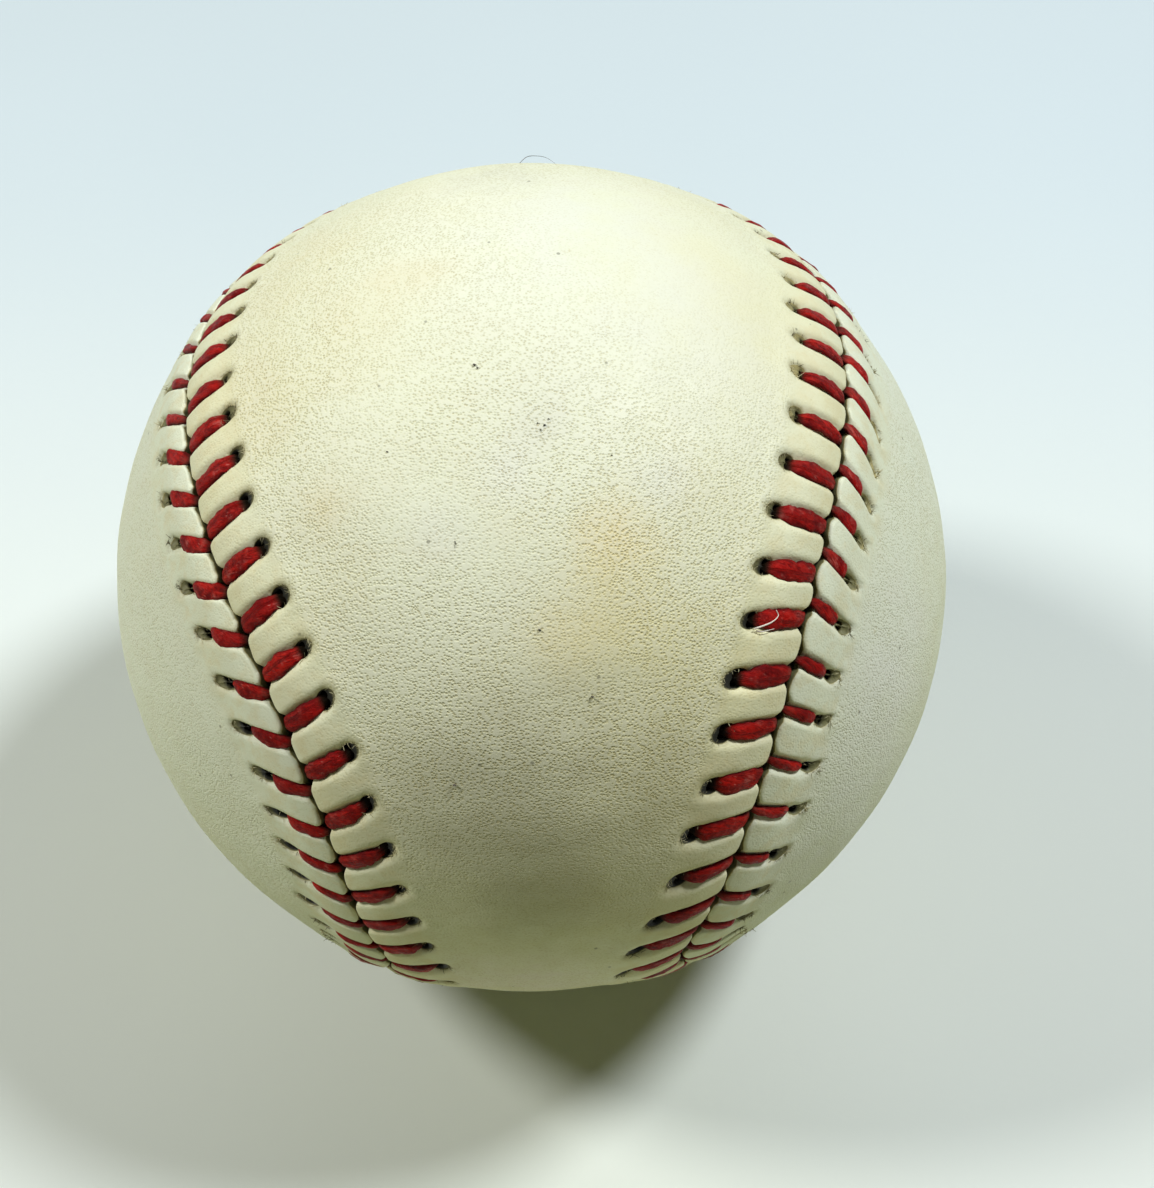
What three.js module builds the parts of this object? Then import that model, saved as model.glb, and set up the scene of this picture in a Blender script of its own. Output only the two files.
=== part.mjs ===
// A hand-stitched baseball as it lies at rest, in millimetres, +Z up, origin at the ball's centre.
// From the middle out: a cork core, two rubber shells in halves, four yarn windings, and a cover of two
// figure-eight leather panels that two waxed threads lace to each other through 108 pairs of holes.
import * as THREE from "three";
import { ConvexHull } from "three/addons/math/ConvexHull.js";

// Core and yarn: thicknesses of the rubber, and the circumference that each winding brings the ball to.
const INCH = 25.4;
const CORE_DIAMETER = (13 / 16) * INCH;
const BLACK_RUBBER_THICKNESS = (5 / 32) * INCH;
const RED_RUBBER_THICKNESS = (3 / 32) * INCH;
const GASKET_THICKNESS = 1.0;
const INNER_GREY_WOOL_GIRTH = (7 + 3 / 4) * INCH;
const WHITE_WOOL_GIRTH = (8 + 3 / 16) * INCH;
const OUTER_GREY_WOOL_GIRTH = (8 + 11 / 16) * INCH;
const FINISHING_YARN_GIRTH = (8 + 13 / 16) * INCH;
const WINDING_OPENING_ANGLE = 4;

// Cover: the ball's radius over plain leather, and the leather's thickness.
const BALL_RADIUS = 37.15;
const LEATHER_THICKNESS = 1.25;

// Seam: it swings like the seam of a tennis ball. The waist is the half-angle of each panel's neck and
// the lobe is how far the seam reaches round the wide ends, both in radians.
const SEAM_WAIST = 0.34;
const SEAM_LOBE = 0.4125;
const SEAM_GAP = 0.8;
const STITCH_COUNT = 108;

// Holes, one row along each edge of the seam.
const HOLE_OFFSET = 4.8;
const HOLE_REACH = 1.3;
const HOLE_WIDTH = 1.5;

// Thread: flattened under tension, and narrower in the seam than in the holes. A strand dives into the
// seam a little further on than its hole, by a different lead on each side.
const THREAD_THICKNESS = 0.42;
const THREAD_WIDTH_AT_HOLE = 1.35;
const THREAD_WIDTH_IN_SEAM = 1.0;
const LEFT_STRAND_LEAD = 0.6;
const RIGHT_STRAND_LEAD = 1.9;
const STRAND_CLEARANCE = 0.1;

// Lip: the edge of the leather, lifted along the seam by the strands that pass under it.
const LIP_LIFT_INSIDE = 0.55;
const LIP_LIFT_AT_SEAM = 0.35;
const LIP_LIFT_AT_HOLES = 0.15;

// How the ball lies, as turns in degrees from the attitude in which the seam's axis is upright.
const RESTING_TURN = [103.63, 1.82, 2.49];

// Modelling clearances and facet counts.
const LAYER_GAP = 0.12;
const ROUND_SEGMENTS = 20;
const POLAR_STEPS = 10;
const SEAM_SAMPLES = 4320;
const SIDE_SAMPLES = 720;
const FIELD_SPACING = 7;
const FIELD_MARGIN = 9;

const CORE_RADIUS = CORE_DIAMETER / 2;
const BLACK_RADIUS = CORE_RADIUS + BLACK_RUBBER_THICKNESS;
const RED_RADIUS = BLACK_RADIUS + RED_RUBBER_THICKNESS;
const LEATHER_INSIDE_RADIUS = BALL_RADIUS - LEATHER_THICKNESS;
const FINISHING_YARN_RADIUS = radiusOfGirth(FINISHING_YARN_GIRTH);
const LEFT = 1;
const RIGHT = -1;

const CORK = finish("#8a6848", 0.95);
const BLACK_RUBBER = finish("#1d1c1b", 0.8);
const RED_RUBBER = finish("#8c2a20", 0.75);
const GREY_WOOL = finish("#8b8b8a", 0.98);
const WHITE_WOOL = finish("#e4dfd2", 0.98);
const FINISHING_YARN = finish("#efeadd", 0.95);
const LEATHER = finish("#ddd8cb", 0.55);
const THREAD = finish("#8e1a1e", 0.6);

function finish(colour, roughness) {
  return new THREE.MeshStandardMaterial({ color: colour, roughness, metalness: 0 });
}

function radiusOfGirth(girth) {
  return girth / (2 * Math.PI);
}

function named(name, geometry, material) {
  const mesh = new THREE.Mesh(geometry, material);
  mesh.name = name;
  return mesh;
}

// Polar angles of an arc from the upper pole down, on the same even steps for every layer, so that
// the facets of nested layers stay parallel.
function polarAngles(from, to) {
  const step = Math.PI / POLAR_STEPS;
  const angles = [from];
  for (let i = 1; i < POLAR_STEPS; i++) {
    const angle = i * step;
    if (angle > from + step / 4 && angle < to - step / 4) {
      angles.push(angle);
    }
  }
  angles.push(to);
  return angles;
}

// Arc about the centre in the (radius, height) plane; a point on a pole lies exactly on the axis.
function arc(radius, angles) {
  return angles.map((angle) => {
    const onAxis = angle === 0 || angle === Math.PI;
    const x = onAxis ? 0 : radius * Math.sin(angle);
    return new THREE.Vector2(x, radius * Math.cos(angle));
  });
}

// Full turn of a profile that climbs on its outer side.
function revolve(profile) {
  const geometry = new THREE.LatheGeometry(profile, ROUND_SEGMENTS);
  return geometry.rotateX(Math.PI / 2);
}

function coreBall() {
  const outside = arc(CORE_RADIUS - LAYER_GAP / 2, polarAngles(0, Math.PI));
  return revolve(outside.reverse());
}

// Upper half of a rubber shell, cut level at a height above the middle.
function upperShell(innerRadius, outerRadius, cutHeight) {
  const inside = innerRadius + LAYER_GAP / 2;
  const outside = outerRadius - LAYER_GAP / 2;
  const innerArc = arc(inside, polarAngles(0, Math.acos(cutHeight / inside)));
  const outerArc = arc(outside, polarAngles(0, Math.acos(cutHeight / outside)));
  return revolve([...innerArc, ...outerArc.reverse()]);
}

function lowerShell(innerRadius, outerRadius, cutHeight) {
  return upperShell(innerRadius, outerRadius, cutHeight).rotateX(Math.PI);
}

// Flat ring between the two black halves.
function gasketRing() {
  const inside = CORE_RADIUS + LAYER_GAP;
  const outside = BLACK_RADIUS - LAYER_GAP;
  const half = GASKET_THICKNESS / 2;
  const corners = [
    [inside, -half],
    [outside, -half],
    [outside, half],
    [inside, half],
    [inside, -half],
  ];
  return revolve(corners.map(([x, y]) => new THREE.Vector2(x, y)));
}

// One layer of yarn, with a small opening on top where the yarn's end is drawn in.
function windingShell(innerRadius, outerRadius) {
  const angles = polarAngles(THREE.MathUtils.degToRad(WINDING_OPENING_ANGLE), Math.PI);
  const outerArc = arc(outerRadius - LAYER_GAP / 2, angles);
  const innerArc = arc(innerRadius + LAYER_GAP / 2, angles);
  return revolve([...outerArc.reverse(), ...innerArc]);
}

// Direction of the seam from the centre; the parameter runs over two turns.
function seamDirection(t) {
  const polar = Math.PI / 2 - (Math.PI / 2 - SEAM_WAIST) * Math.cos(t);
  const azimuth = t / 2 + SEAM_LOBE * Math.sin(2 * t);
  return new THREE.Vector3(
    Math.sin(polar) * Math.cos(azimuth),
    Math.sin(polar) * Math.sin(azimuth),
    Math.cos(polar),
  );
}

// The seam as directions with their distance along it, so that stitches can be spaced evenly.
function sampleSeam() {
  const directions = [];
  const distances = [0];
  for (let i = 0; i <= SEAM_SAMPLES; i++) {
    directions.push(seamDirection((4 * Math.PI * i) / SEAM_SAMPLES));
    if (i > 0) {
      const step = directions[i].angleTo(directions[i - 1]) * BALL_RADIUS;
      distances.push(distances[i - 1] + step);
    }
  }
  return { directions, distances, length: distances[SEAM_SAMPLES] };
}

const seam = sampleSeam();
const PITCH = seam.length / STITCH_COUNT;

// Frame of the seam at a station: outwards, along the seam, and to its left as seen from outside.
function seamFrame(station) {
  const wrapped = THREE.MathUtils.euclideanModulo(station, seam.length);
  let low = 0;
  let high = SEAM_SAMPLES;
  while (high - low > 1) {
    const middle = (low + high) >> 1;
    if (seam.distances[middle] > wrapped) {
      high = middle;
    } else {
      low = middle;
    }
  }
  const share = (wrapped - seam.distances[low]) / (seam.distances[high] - seam.distances[low]);
  const outwards = seam.directions[low].clone().lerp(seam.directions[high], share).normalize();
  const along = seam.directions[high].clone().sub(seam.directions[low]);
  along.addScaledVector(outwards, -along.dot(outwards)).normalize();
  const left = outwards.clone().cross(along);
  return { outwards, along, left };
}

// The same frame moved sideways over the sphere, by an offset that is positive to the left.
function offsetFrame(station, offset) {
  const { outwards, along, left } = seamFrame(station);
  return {
    outwards: outwards.clone().applyAxisAngle(along, -offset / BALL_RADIUS),
    along,
    left: left.clone().applyAxisAngle(along, -offset / BALL_RADIUS),
  };
}

function place(station, offset, radius) {
  return offsetFrame(station, offset).outwards.multiplyScalar(radius);
}

const sideSamples = Array.from({ length: SIDE_SAMPLES }, (_, i) => {
  return seamFrame((i * seam.length) / SIDE_SAMPLES);
});

// Signed distance of a direction from the seam, over the sphere and positive to the left.
function seamDistance(direction) {
  let nearest = sideSamples[0];
  let best = -Infinity;
  for (const sample of sideSamples) {
    const closeness = sample.outwards.dot(direction);
    if (closeness > best) {
      best = closeness;
      nearest = sample;
    }
  }
  const side = Math.sign(nearest.left.dot(direction));
  return side * direction.angleTo(nearest.outwards) * BALL_RADIUS;
}

// Evenly spread directions on the sphere, by the golden angle.
function spreadDirections() {
  const area = 4 * Math.PI * BALL_RADIUS ** 2;
  const count = Math.round(area / FIELD_SPACING ** 2);
  const goldenAngle = Math.PI * (3 - Math.sqrt(5));
  return Array.from({ length: count }, (_, i) => {
    const height = 1 - (2 * (i + 0.5)) / count;
    const reach = Math.sqrt(1 - height * height);
    return new THREE.Vector3(
      reach * Math.cos(i * goldenAngle),
      reach * Math.sin(i * goldenAngle),
      height,
    );
  });
}

// Points of one panel: its edge at the seam, the corners of its stitch holes, and its open field. Each
// has its direction, the radii of the leather's two faces there, and the hole that it belongs to.
function panelPoints(side) {
  const lipInside = LEATHER_INSIDE_RADIUS + LIP_LIFT_INSIDE;
  const points = [];
  for (let hole = 0; hole < STITCH_COUNT; hole++) {
    const station = hole * PITCH;
    points.push({
      direction: offsetFrame(station, (side * SEAM_GAP) / 2).outwards,
      outside: BALL_RADIUS + LIP_LIFT_AT_SEAM,
      inside: lipInside,
    });
    const { outwards, along, left } = offsetFrame(station, side * HOLE_OFFSET);
    for (const [x, y] of [[-1, -1], [1, -1], [1, 1], [-1, 1]]) {
      const corner = outwards.clone().multiplyScalar(BALL_RADIUS);
      corner.addScaledVector(along, (x * HOLE_WIDTH) / 2);
      corner.addScaledVector(left, (y * HOLE_REACH) / 2);
      points.push({
        direction: corner.normalize(),
        outside: BALL_RADIUS + LIP_LIFT_AT_HOLES,
        inside: lipInside,
        hole,
      });
    }
  }
  for (const direction of spreadDirections()) {
    if (side * seamDistance(direction) > FIELD_MARGIN) {
      points.push({ direction, outside: BALL_RADIUS, inside: LEATHER_INSIDE_RADIUS });
    }
  }
  return points;
}

// Triangles of the sphere over a panel: the convex hull of points on a sphere is their best
// triangulation. Its faces beyond the seam and those inside a hole are left out.
function panelTriangles(points, side) {
  const directions = points.map((point) => point.direction);
  const indexOf = new Map(directions.map((direction, i) => [direction, i]));
  const hull = new ConvexHull().setFromPoints(directions);
  const triangles = [];
  for (const face of hull.faces) {
    const corners = [0, 1, 2].map((i) => indexOf.get(face.getEdge(i).head().point));
    const middle = new THREE.Vector3();
    corners.forEach((corner) => middle.add(directions[corner]));
    const holes = new Set(corners.map((corner) => points[corner].hole));
    const insideHole = holes.size === 1 && !holes.has(undefined);
    if (side * seamDistance(middle.normalize()) > 0 && !insideHole) {
      triangles.push(corners);
    }
  }
  return triangles;
}

// One panel: leather between its outer and inner faces, closed along its edge and round its holes.
function coverPanel(side) {
  const points = panelPoints(side);
  const count = points.length;
  const outer = points.map((point) => point.direction.clone().multiplyScalar(point.outside));
  const inner = points.map((point) => point.direction.clone().multiplyScalar(point.inside));
  const index = [];
  const edges = new Set();
  for (const [a, b, c] of panelTriangles(points, side)) {
    index.push(a, b, c, count + a, count + c, count + b);
    edges.add(`${a} ${b}`).add(`${b} ${c}`).add(`${c} ${a}`);
  }
  for (const edge of edges) {
    const [a, b] = edge.split(" ").map(Number);
    if (!edges.has(`${b} ${a}`)) {
      index.push(b, a, count + a, b, count + a, count + b);
    }
  }
  const geometry = new THREE.BufferGeometry().setFromPoints([...outer, ...inner]);
  geometry.setIndex(index);
  geometry.computeVertexNormals();
  return geometry;
}

// Route of one thread: up through a hole, over the lip, down into the seam, then under the other
// panel's lip to the next hole there. Each stop has a place, the seam's direction and a width.
function threadRoute(firstSide) {
  const under = FINISHING_YARN_RADIUS + STRAND_CLEARANCE + THREAD_THICKNESS / 2;
  const over = BALL_RADIUS + STRAND_CLEARANCE + THREAD_THICKNESS / 2;
  const overHole = over + LIP_LIFT_AT_HOLES;
  const overEdge = over + LIP_LIFT_AT_SEAM;
  const stops = [];
  for (let i = 0; i < STITCH_COUNT; i++) {
    const side = i % 2 === 0 ? firstSide : -firstSide;
    const lead = side === LEFT ? LEFT_STRAND_LEAD : RIGHT_STRAND_LEAD;
    const hole = i * PITCH;
    const dive = hole + lead;
    const holeOffset = side * HOLE_OFFSET;
    const visit = (station, offset, radius, width) => {
      const at = place(station, offset, radius);
      stops.push({ at, along: seamFrame(station).along, width });
    };
    visit(hole, holeOffset, under, THREAD_WIDTH_AT_HOLE);
    visit(hole, holeOffset, overHole, THREAD_WIDTH_AT_HOLE);
    visit(dive, 0, overEdge, THREAD_WIDTH_IN_SEAM);
    visit(dive, 0, under, THREAD_WIDTH_IN_SEAM);
  }
  return stops;
}

// Flattened four-sided strand swept along its stops, with mitred corners and closed ends.
function strandSolid(stops) {
  const corners = [];
  stops.forEach(({ at, along, width }, i) => {
    const before = stops[Math.max(i - 1, 0)].at;
    const after = stops[Math.min(i + 1, stops.length - 1)].at;
    const arriving = (i > 0 ? at.clone().sub(before) : after.clone().sub(at)).normalize();
    const leaving = (i < stops.length - 1 ? after.clone().sub(at) : arriving.clone()).normalize();
    const forward = arriving.clone().add(leaving).normalize();
    const wide = along.clone().addScaledVector(forward, -along.dot(forward)).normalize();
    const thick = wide.clone().cross(forward);
    const mitre = Math.max(forward.dot(leaving), 0.5);
    const halfWidth = width / 2;
    const halfThickness = THREAD_THICKNESS / 2 / mitre;
    corners.push(
      at.clone().addScaledVector(wide, halfWidth),
      at.clone().addScaledVector(thick, -halfThickness),
      at.clone().addScaledVector(wide, -halfWidth),
      at.clone().addScaledVector(thick, halfThickness),
    );
  });
  const index = [0, 2, 1, 0, 3, 2];
  for (let ring = 0; ring < stops.length - 1; ring++) {
    for (let side = 0; side < 4; side++) {
      const a = ring * 4 + side;
      const b = ring * 4 + ((side + 1) % 4);
      index.push(a, b, b + 4, a, b + 4, a + 4);
    }
  }
  const last = (stops.length - 1) * 4;
  index.push(last, last + 1, last + 2, last, last + 2, last + 3);
  const geometry = new THREE.BufferGeometry().setFromPoints(corners).setIndex(index);
  geometry.computeVertexNormals();
  return geometry;
}

function routeLength(stops) {
  return stops.reduce((sum, stop, i) => sum + (i > 0 ? stop.at.distanceTo(stops[i - 1].at) : 0), 0);
}

const blackCut = GASKET_THICKNESS / 2 + LAYER_GAP;
const redCut = LAYER_GAP / 2;
const innerGreyRadius = radiusOfGirth(INNER_GREY_WOOL_GIRTH);
const whiteRadius = radiusOfGirth(WHITE_WOOL_GIRTH);
const outerGreyRadius = radiusOfGirth(OUTER_GREY_WOOL_GIRTH);
const leftRoute = threadRoute(LEFT);
const rightRoute = threadRoute(RIGHT);

const baseball = new THREE.Group();
baseball.rotation.set(...RESTING_TURN.map(THREE.MathUtils.degToRad));
baseball.add(
  named("cork_core", coreBall(), CORK),
  named("black_rubber_upper", upperShell(CORE_RADIUS, BLACK_RADIUS, blackCut), BLACK_RUBBER),
  named("black_rubber_lower", lowerShell(CORE_RADIUS, BLACK_RADIUS, blackCut), BLACK_RUBBER),
  named("rubber_gasket", gasketRing(), RED_RUBBER),
  named("red_rubber_upper", upperShell(BLACK_RADIUS, RED_RADIUS, redCut), RED_RUBBER),
  named("red_rubber_lower", lowerShell(BLACK_RADIUS, RED_RADIUS, redCut), RED_RUBBER),
  named("grey_wool_inner_winding", windingShell(RED_RADIUS, innerGreyRadius), GREY_WOOL),
  named("white_wool_winding", windingShell(innerGreyRadius, whiteRadius), WHITE_WOOL),
  named("grey_wool_outer_winding", windingShell(whiteRadius, outerGreyRadius), GREY_WOOL),
  named(
    "finishing_yarn_winding",
    windingShell(outerGreyRadius, FINISHING_YARN_RADIUS),
    FINISHING_YARN,
  ),
  named("cover_panel_left", coverPanel(LEFT), LEATHER),
  named("cover_panel_right", coverPanel(RIGHT), LEATHER),
  named("stitch_thread_left", strandSolid(leftRoute), THREAD),
  named("stitch_thread_right", strandSolid(rightRoute), THREAD),
);
console.log(
  `seam ${seam.length.toFixed(1)} mm, pitch ${PITCH.toFixed(2)} mm, ` +
    `threads ${(routeLength(leftRoute) + routeLength(rightRoute)).toFixed(0)} mm`,
);

export default baseball;
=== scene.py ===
import math

import bpy
import numpy as np
from mathutils import Matrix, Vector
from mathutils.geometry import delaunay_2d_cdt


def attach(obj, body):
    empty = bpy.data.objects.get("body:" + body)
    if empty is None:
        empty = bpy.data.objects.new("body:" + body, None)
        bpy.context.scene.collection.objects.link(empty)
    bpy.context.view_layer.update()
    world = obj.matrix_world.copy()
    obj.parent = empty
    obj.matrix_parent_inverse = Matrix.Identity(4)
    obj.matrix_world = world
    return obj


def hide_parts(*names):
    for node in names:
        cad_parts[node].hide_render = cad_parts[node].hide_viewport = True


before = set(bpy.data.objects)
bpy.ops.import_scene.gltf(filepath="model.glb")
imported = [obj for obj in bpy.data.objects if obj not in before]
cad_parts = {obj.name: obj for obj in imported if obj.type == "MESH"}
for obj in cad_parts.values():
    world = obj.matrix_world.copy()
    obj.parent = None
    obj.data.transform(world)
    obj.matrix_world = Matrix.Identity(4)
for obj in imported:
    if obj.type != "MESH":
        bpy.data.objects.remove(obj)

# A hand-stitched baseball at rest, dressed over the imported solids. Shapes are worked out in
# millimetres, origin at the ball's centre and +Z up, and turned into metres when a mesh is made.
MM = 0.001
rng = np.random.default_rng(108)
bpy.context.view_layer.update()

# Ball and seam, as in the solids.
BALL_RADIUS = 37.15
LEATHER_THICKNESS = 1.25
SEAM_WAIST = 0.34
SEAM_LOBE = 0.4125
STITCH_COUNT = 108
SEAM_LENGTH = 417.9
PITCH = SEAM_LENGTH / STITCH_COUNT
RESTING_TURN = [103.63, 1.82, 2.49]
SEAM_SAMPLES = 8640
LEFT = 1
RIGHT = -1

# Where the hand-made seam leaves its even course, as (station in stitches, amount). The seam
# wanders sideways in millimetres, and the stitches drift along it in stitches.
SEAM_WANDER = [
    (1, 1.0), (3, 0.4), (5.5, 0), (8, 0.1), (10, 0.6), (13, 1.0), (16, 0.95), (18, 0.1), (20, -1.1),
    (22, -1.9), (24.5, -2.3), (28, -2.2), (31, -1.4), (33.5, -0.3), (35.5, 0.6), (38.5, 0.7),
    (43.5, 0.5), (47.5, 1.0), (49, 0.85), (50.5, 0.2), (52, -0.6), (54, -0.9), (59, 0), (100, 0),
]
STITCH_DRIFT = [
    (0, -0.6), (2, -0.62), (4, -0.38), (6, -0.22), (8, -0.17), (9.2, -0.14), (10.5, -0.24),
    (12, -0.28), (14, -0.25), (16, -0.14), (18, 0.03), (22, 0.12), (34, -0.07), (36.5, 0.05),
    (39, 0.27), (42, 0.4), (45, 0.5), (47, 0.53), (50, 0.66), (54.3, 0.75), (81, 0.07),
]

# Stitches. A strand climbs out of its hole and dives into the seam a lead further on. Right dives
# lag behind left ones, and the holes lie nearer the seam or further out, all in millimetres.
FIRST_DIVE = 0.155
RIGHT_DIVE_LAG = [
    (0, 0.3), (4, 0.3), (6.5, 1.1), (8, 1.3), (10, 2.05), (11.5, 1.75), (13, 1.8), (16, 1.1),
    (18, 0.7), (36, 0.6), (40, 1.0), (44, 1.0), (47, 1.4), (50, 0.6), (60, 1.3), (90, 1.0),
]
LEFT_LEAD = [
    (0, 2.0), (2.5, 2.2), (4.5, 1.2), (7, 1.0), (8.2, 1.35), (9.2, 1.25), (10.3, 0.7), (12, 0.65),
    (14, 0.3), (16.5, 1.0), (19, 0.6), (35, -0.3), (40, 0.1), (44, 0.3), (47, 0.9), (50, 1.8),
    (54, 1.9), (60, 1.2), (90, 0.92),
]
RIGHT_LEAD = [
    (0, 1.6), (3, 1.3), (6, 0.8), (9, 1.1), (10.3, 1.3), (11.8, 1.2), (13, 1.65), (15, 1.8),
    (17, 1.5), (20, 1.1), (36, 2.7), (44, 2.75), (47, 2.2), (50, 1.4), (56, 1.4), (90, 1.11),
]
LEFT_HOLE_SHIFT = [
    (0, -0.15), (3, -0.25), (5, -0.15), (7, 0), (9, 0.25), (11, 0.42), (13, 0.4), (15, 0.2),
    (18, 0), (20, 0), (24, 0), (90, 0), (100, 0),
]
RIGHT_HOLE_SHIFT = [
    (4, 0), (8, -0.5), (12, -1.0), (20, -0.9), (34, -0.9), (43, -0.8), (47, -0.4), (51, 0.2),
    (60, 0), (100, 0),
]
STATION_JITTER = 0.022
HOLE_OFFSET = 4.75
HOLE_OFFSET_JITTER = 0.16
HOLE_HALF_LENGTH = 1.0
HOLE_HALF_WIDTH = 0.74
HOLE_SIZE_JITTER = 0.09
HOLE_SPREAD = 2.3
HOLE_WIDTH_SHARE = {LEFT: 0.9, RIGHT: 0.74}

# Relief of the leather beside the seam: height over plain leather against distance from the seam.
TONGUE_HEIGHT = {
    LEFT: [(0, 0.24), (1.0, 0.38), (2.2, 0.45), (3.4, 0.41), (4.8, 0.26), (6.2, 0.11), (8.2, 0)],
    RIGHT: [(0, 0.24), (1.0, 0.38), (2.2, 0.43), (3.2, 0.34), (4.3, 0.18), (5.6, 0.07), (8.2, 0)],
}
GROOVE_HEIGHT = [
    (0, -0.1), (1.2, -0.1), (2.6, -0.08), (4.0, -0.05), (5.0, 0.0), (6.2, 0.03), (8.2, 0),
]
# Where a groove ends: across its strand, and along it by distance from the seam.
GROOVE_EDGES = {LEFT: (0.42, 1.15), RIGHT: (0.3, 0.86)}
GROOVE_END = {LEFT: (4.6, 6.3), RIGHT: (4.1, 5.6)}
RIM_TURN_IN = 0.07
PUCKER = 0.06
# The panel's edge at the seam, notched where a strand dives, with its foot set a little back.
EDGE_GAP = 0.08
EDGE_NOTCH = 0.52
NOTCH_EDGES = (0.15, 1.55)
EDGE_WOBBLE = 0.05
EDGE_ROUNDING = 0.34
FOOT_STEP = 0.12
FOOT_NOTCH = 0.6
# Soil of the seam's wall from its foot up, partly dirt and partly painted shade in the gap.
EDGE_SOIL_AND_SHADE = (0.62, 0.36, 0.32)
# How far the lip's inside is lifted, and where the lip ends inside and, for its looks, outside.
LIP_INSIDE = 0.55
LIP_INSIDE_END = (5.6, 8.6)
LIP_END = (4.6, 7.2)
RIM_STAIN = 0.8
# Rings down a hole's wall: share of the hole's size, how far its outer end slopes in, share of the
# way down, and how soiled it is in a pale hole and in a dark one, the dark one mostly painted
# shade.
HOLE_WALLS = [
    (0.96, 0.0, 0.1, 0.15, 0.5),
    (0.93, 0.8, 0.3, 0.21, 1.1),
    (0.9, 0.95, 0.65, 0.3, 1.2),
]
# Soil of a hole's inside face in a pale hole and in a dark one, near black there as painted shade.
INNER_SOIL_AND_SHADE = (0.42, 1.0)
# In a pale hole the outer wall slopes further in, lies less deep and narrows, so that it shows.
PALE_LEDGE = 0.65
PALE_LIFT = 0.62
PALE_CLOSING = 0.5
# How far along the seam the outer end of a hole leans, in millimetres.
HOLE_SLANT = {
    LEFT: [(0, 0.0), (30, 0.0), (90, 0.0)],
    RIGHT: [(0, 0.4), (8, 0.45), (11, 0.1), (13, -0.3), (20, -0.3), (36, 0.5), (42, 0.55),
            (45, 0.1), (54, -0.1), (90, 0.2)],
}
# How dark the holes are inside, against the stitch, as painted shade: near black where a hole lies
# in shade; the paler ones show the cut leather's fibres.
HOLE_PAINTED_SHADE = {
    LEFT: [(0, 1.0), (9, 1.0), (11.5, 0.7), (13.5, 0.3), (16, 0.22), (30, 0.3), (38, 0.5),
           (40, 0.7), (42.5, 1.0), (46, 1.0), (54, 1.0), (90, 0.8)],
    RIGHT: [(0, 0.7), (8, 0.6), (11, 0.35), (20, 0.3), (30, 0.45), (40, 0.5), (43, 0.55),
            (46, 0.8), (54, 0.8), (90, 0.6)],
}
UNDULATION = 0.035
UNDULATION_START = (1.0, 6.0)

# Lattice of the leather beside the seam: places of the columns across one stitch, as distances from
# the nearer strand, and rows by distance from the seam.
COLUMN_OFFSETS = [0, 0.24, 0.5, 0.74, 0.9, 1.08, 1.3, 1.58]
EDGE_ANGLES = [0, 22, 45, 68, 90]
ROWS_BEFORE_HOLE = [0.9, 1.2, 1.55, 1.95, 2.35, 2.7, 3.0, 3.2]
HOLE_ROWS = 8
ROWS_AFTER_HOLE = [6.1, 6.4, 6.8, 7.3, 7.9, 8.6]
INNER_ROWS_BEFORE = [2.0, 3.5]
FIELD_SPACING = 1.15

# Thread: half its width and half its thickness along one stitch are given with its route.
PLY_COUNT = 3
PLY_TWIST = 3.4
PLY_DEPTH = 0.05
STRAND_SIDES = 18
STRAND_GIRTH = 4.4
SWELL_JITTER = 0.05
LIFT_JITTER = 0.03
FIBRES_PER_HOLE = 20


def smooth(low, high, x):
    share = np.clip((x - low) / (high - low), 0, 1)
    return share * share * (3 - 2 * share)


def bell(x, middle, width):
    return np.exp(-(((x - middle) / width) ** 2))


def unit(v):
    return v / np.linalg.norm(v, axis=-1, keepdims=True)


def curve(x, knots, period=None):
    """Smooth curve through knots, level beyond its ends or repeated with a period."""
    xs, ys = np.array(knots, float).T
    x = np.asarray(x, float)
    if period:
        x = xs[0] + np.mod(x - xs[0], period)
        xs = np.concatenate([xs[-2:] - period, xs, xs[:2] + period])
        ys = np.concatenate([ys[-2:], ys, ys[:2]])
    slopes = np.gradient(ys, xs)
    i = np.clip(np.searchsorted(xs, x) - 1, 0, len(xs) - 2)
    span = xs[i + 1] - xs[i]
    s = np.clip((x - xs[i]) / span, 0, 1)
    start = (1 + 2 * s) * (1 - s) ** 2 * ys[i] + s * (1 - s) ** 2 * span * slopes[i]
    end = s * s * (3 - 2 * s) * ys[i + 1] + s * s * (s - 1) * span * slopes[i + 1]
    return start + end


def turn_matrix(degrees):
    a, b, c = np.radians(degrees)
    about_x = [[1, 0, 0], [0, math.cos(a), -math.sin(a)], [0, math.sin(a), math.cos(a)]]
    about_y = [[math.cos(b), 0, math.sin(b)], [0, 1, 0], [-math.sin(b), 0, math.cos(b)]]
    about_z = [[math.cos(c), -math.sin(c), 0], [math.sin(c), math.cos(c), 0], [0, 0, 1]]
    return np.array(about_x) @ np.array(about_y) @ np.array(about_z)


TURN = turn_matrix(RESTING_TURN)


def ripple(points, wavelength, seed, waves=14):
    """Smooth seeded noise between about -1 and 1 at places in millimetres."""
    waves_rng = np.random.default_rng(seed)
    total = np.zeros(points.shape[:-1])
    for _ in range(waves):
        direction = unit(waves_rng.normal(size=3))
        length = wavelength * waves_rng.uniform(0.6, 1.6)
        phase = waves_rng.uniform(0, 2 * np.pi)
        total += np.sin(points @ direction * (2 * np.pi / length) + phase)
    return total / math.sqrt(waves)


# ---- Seam and stitches ----

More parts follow.
